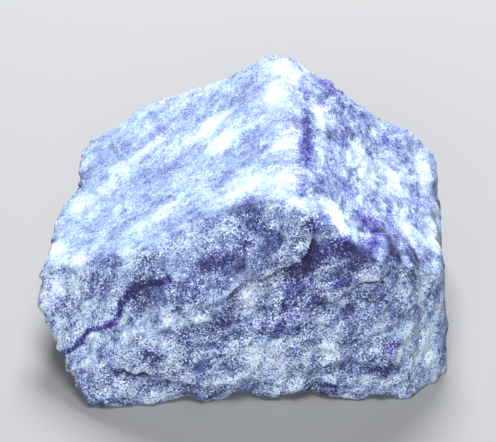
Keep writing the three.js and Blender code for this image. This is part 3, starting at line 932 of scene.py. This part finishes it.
class LooksSettings(bpy.types.PropertyGroup):
    """The rock's colours, each a row of sRGB hex values from its darkest grains to its lightest, and
    how its patterns mix."""
    quartz: bpy.props.StringProperty(
        name="Quartz", description="The rock's main colour, dark to light",
        default="#1B1D4C #54629E #94AAD5 #C6E0F5 #EFF8FF")
    needles: bpy.props.StringProperty(
        name="Dumortierite", description="Where the needles crowd, dark to light",
        default="#1C1350 #3A34A0 #6468D6 #8E9BF2 #D8E0FF")
    stained: bpy.props.StringProperty(
        name="Stained quartz", description="Iron-stained and grey quartz, dark to light",
        default="#2A283C #5A5B79 #8C8FAE #B9BFDA #E3E9FA")
    lightness: bpy.props.FloatProperty(name="Lightness", description="Mean lightness, 0 to 1", default=0.55)
    # Painted shade: how much darker rough breaks, the front most of all, are painted.
    rough_painted_shade: bpy.props.FloatProperty(
        name="Rough shade", description="How much darker rough breaks are", default=0.24)
    contrast: bpy.props.FloatProperty(
        name="Contrast", description="Contrast that the roughest break adds", default=3.4)
    least_contrast: bpy.props.FloatProperty(
        name="Least contrast", description="Contrast on the smoothest break", default=-0.12)
    clumps: bpy.props.FloatProperty(name="Clumps", description="Contrast from clump to clump", default=0.5)
    grains: bpy.props.FloatProperty(name="Grains", description="Contrast from grain to grain", default=0.2)
    warp: bpy.props.FloatProperty(
        name="Raggedness", description="How far clump edges wander, mm", default=4.0)
    patches: bpy.props.FloatProperty(
        name="Patches", description="Contrast of the placed patches", default=0.19)
    specks: bpy.props.FloatProperty(name="Specks", description="Share of single dark grains", default=0.15)
    crowding: bpy.props.FloatProperty(
        name="Crowding", description="How much their share grows with the needles", default=0.30)
    speck_shade: bpy.props.FloatProperty(
        name="Speck", description="How much darker those grains are", default=0.22)
    # Painted glints: grains made lighter in the colour, their share and how much lighter.
    painted_glints: bpy.props.FloatProperty(name="Glints", description="Share of glinting grains", default=0.12)
    painted_glint_light: bpy.props.FloatProperty(
        name="Glint", description="How much lighter those grains are", default=0.34)
    needle_shade: bpy.props.FloatProperty(
        name="Needle shade", description="How much darker dumortierite is", default=0.06)
    sparkle: bpy.props.FloatProperty(
        name="Sparkle", description="How far the grains' faces tilt", default=0.45)
    bump: bpy.props.FloatProperty(
        name="Grain bump", description="Strength of the grains' relief", default=0.5)
    roughness: bpy.props.FloatProperty(name="Roughness", description="Mean surface roughness", default=0.5)


class StageSettings(bpy.types.PropertyGroup):
    """The floor, the lights and the camera."""
    floor: bpy.props.StringProperty(name="Floor", description="Colour of the floor", default="#97989A")
    back: bpy.props.FloatProperty(
        name="Back light", description="Softbox above and behind", default=9.8, unit="POWER")
    top: bpy.props.FloatProperty(name="Top light", description="Softbox overhead", default=2.8, unit="POWER")
    front: bpy.props.FloatProperty(
        name="Front light", description="Softbox in front", default=2.9, unit="POWER")
    world: bpy.props.FloatProperty(name="Room light", description="Brightness of the room", default=0.03)
    elevation: bpy.props.FloatProperty(
        name="Camera height", description="Angle above the floor", default=math.radians(CAMERA_RISE),
        subtype="ANGLE")
    distance: bpy.props.FloatProperty(
        name="Camera distance", description="From the middle of the stone", default=CAMERA_DISTANCE * MM,
        unit="LENGTH")
    pixel: bpy.props.FloatProperty(
        name="Pixel size", description="Size of an image pixel at the stone", default=PIXEL * MM,
        unit="LENGTH", precision=6)


class AVENTURINE_OT_stone(bpy.types.Operator):
    """Carve the stone and give it the rock's grain"""
    bl_idname = "aventurine.stone"
    bl_label = "Build the stone"

    def execute(self, context):
        settings = context.scene.aventurine_stone
        points, faces, block, bent = stone_surface(settings)
        mesh = bpy.data.meshes.new("Stone")
        mesh.from_pydata((points * MM).tolist(), [], faces.tolist())
        mesh.shade_smooth()
        marks = rock_marks(points, bent, block, settings)
        for name, values in marks.items():
            attribute = mesh.attributes.new(name, "FLOAT", "POINT")
            attribute.data.foreach_set("value", values.astype(np.float32))
        mesh.materials.append(aventurine_material(context.scene.aventurine_looks))
        stone = bpy.data.objects.new("Stone", mesh)
        context.scene.collection.objects.link(stone)
        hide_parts(NODE)
        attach(stone, "root")
        return {"FINISHED"}


class AVENTURINE_OT_stage(bpy.types.Operator):
    """Lay the pale floor, hang the soft lights and set up the camera"""
    bl_idname = "aventurine.stage"
    bl_label = "Build the stage"

    def execute(self, context):
        stage = context.scene.aventurine_stage
        scene = context.scene
        middle = Vector(CORE * MM)

        floor_mesh = bpy.data.meshes.new("Floor")
        corners = [(x * FLOOR_HALF, y * FLOOR_HALF, 0) for x, y in ((-1, -1), (1, -1), (1, 1), (-1, 1))]
        floor_mesh.from_pydata(corners, [], [(0, 1, 2, 3)])
        floor = bpy.data.objects.new("Floor", floor_mesh)
        paper = bpy.data.materials.new("Seamless paper, matt")
        paper.use_nodes = True
        shader = paper.node_tree.nodes["Principled BSDF"]
        shader.inputs["Base Color"].default_value = linear(stage.floor)
        shader.inputs["Roughness"].default_value = FLOOR_ROUGHNESS
        shader.inputs["Specular IOR Level"].default_value = FLOOR_SPECULAR
        floor_mesh.materials.append(paper)
        scene.collection.objects.link(floor)

        for side, (place, size) in SOFTBOXES.items():
            name = f"{side.capitalize()} softbox"
            light = bpy.data.lights.new(name, "AREA")
            light.size = size
            light.energy = getattr(stage, side)
            lamp = bpy.data.objects.new(name, light)
            lamp.location = place
            lamp.rotation_euler = (middle - Vector(place)).to_track_quat("-Z", "Y").to_euler()
            scene.collection.objects.link(lamp)

        world = bpy.data.worlds.new("Room")
        world.use_nodes = True
        background = world.node_tree.nodes["Background"]
        background.inputs["Color"].default_value = (1, 1, 1, 1)
        background.inputs["Strength"].default_value = stage.world
        scene.world = world
        scene.view_settings.view_transform = "Standard"

        lens = bpy.data.cameras.new("Camera")
        lens.sensor_width = SENSOR_WIDTH
        lens.lens = lens.sensor_width * stage.distance / (stage.pixel * IMAGE_WIDTH)
        lens.shift_x = (IMAGE_WIDTH / 2 - MIDDLE_ACROSS) / IMAGE_WIDTH
        lens.shift_y = (MIDDLE_DOWN - IMAGE_HEIGHT / 2) / IMAGE_WIDTH
        camera = bpy.data.objects.new("Camera", lens)
        back = Vector((0, -math.cos(stage.elevation), math.sin(stage.elevation)))
        camera.location = middle + back * stage.distance
        camera.rotation_euler = (-back).to_track_quat("-Z", "Y").to_euler()
        scene.collection.objects.link(camera)
        scene.camera = camera
        return {"FINISHED"}


class AVENTURINE_PT_panel(bpy.types.Panel):
    """The stone, its looks and its stage"""
    bl_label = "Aventurine"
    bl_idname = "AVENTURINE_PT_panel"
    bl_space_type = "VIEW_3D"
    bl_region_type = "UI"
    bl_category = "Aventurine"

    def draw(self, context):
        scene = context.scene
        for settings in (scene.aventurine_stone, scene.aventurine_looks, scene.aventurine_stage):
            box = self.layout.box()
            for name in settings.__annotations__:
                box.prop(settings, name)
        self.layout.operator(AVENTURINE_OT_stone.bl_idname)
        self.layout.operator(AVENTURINE_OT_stage.bl_idname)


CLASSES = (
    StoneSettings, LooksSettings, StageSettings,
    AVENTURINE_OT_stone, AVENTURINE_OT_stage, AVENTURINE_PT_panel,
)


def register():
    for kind in CLASSES:
        bpy.utils.register_class(kind)
    bpy.types.Scene.aventurine_stone = bpy.props.PointerProperty(type=StoneSettings)
    bpy.types.Scene.aventurine_looks = bpy.props.PointerProperty(type=LooksSettings)
    bpy.types.Scene.aventurine_stage = bpy.props.PointerProperty(type=StageSettings)


def unregister():
    del bpy.types.Scene.aventurine_stage
    del bpy.types.Scene.aventurine_looks
    del bpy.types.Scene.aventurine_stone
    for kind in reversed(CLASSES):
        bpy.utils.unregister_class(kind)


def main():
    register()
    bpy.ops.aventurine.stone()
    bpy.ops.aventurine.stage()


if __name__ == "__main__":
    main()
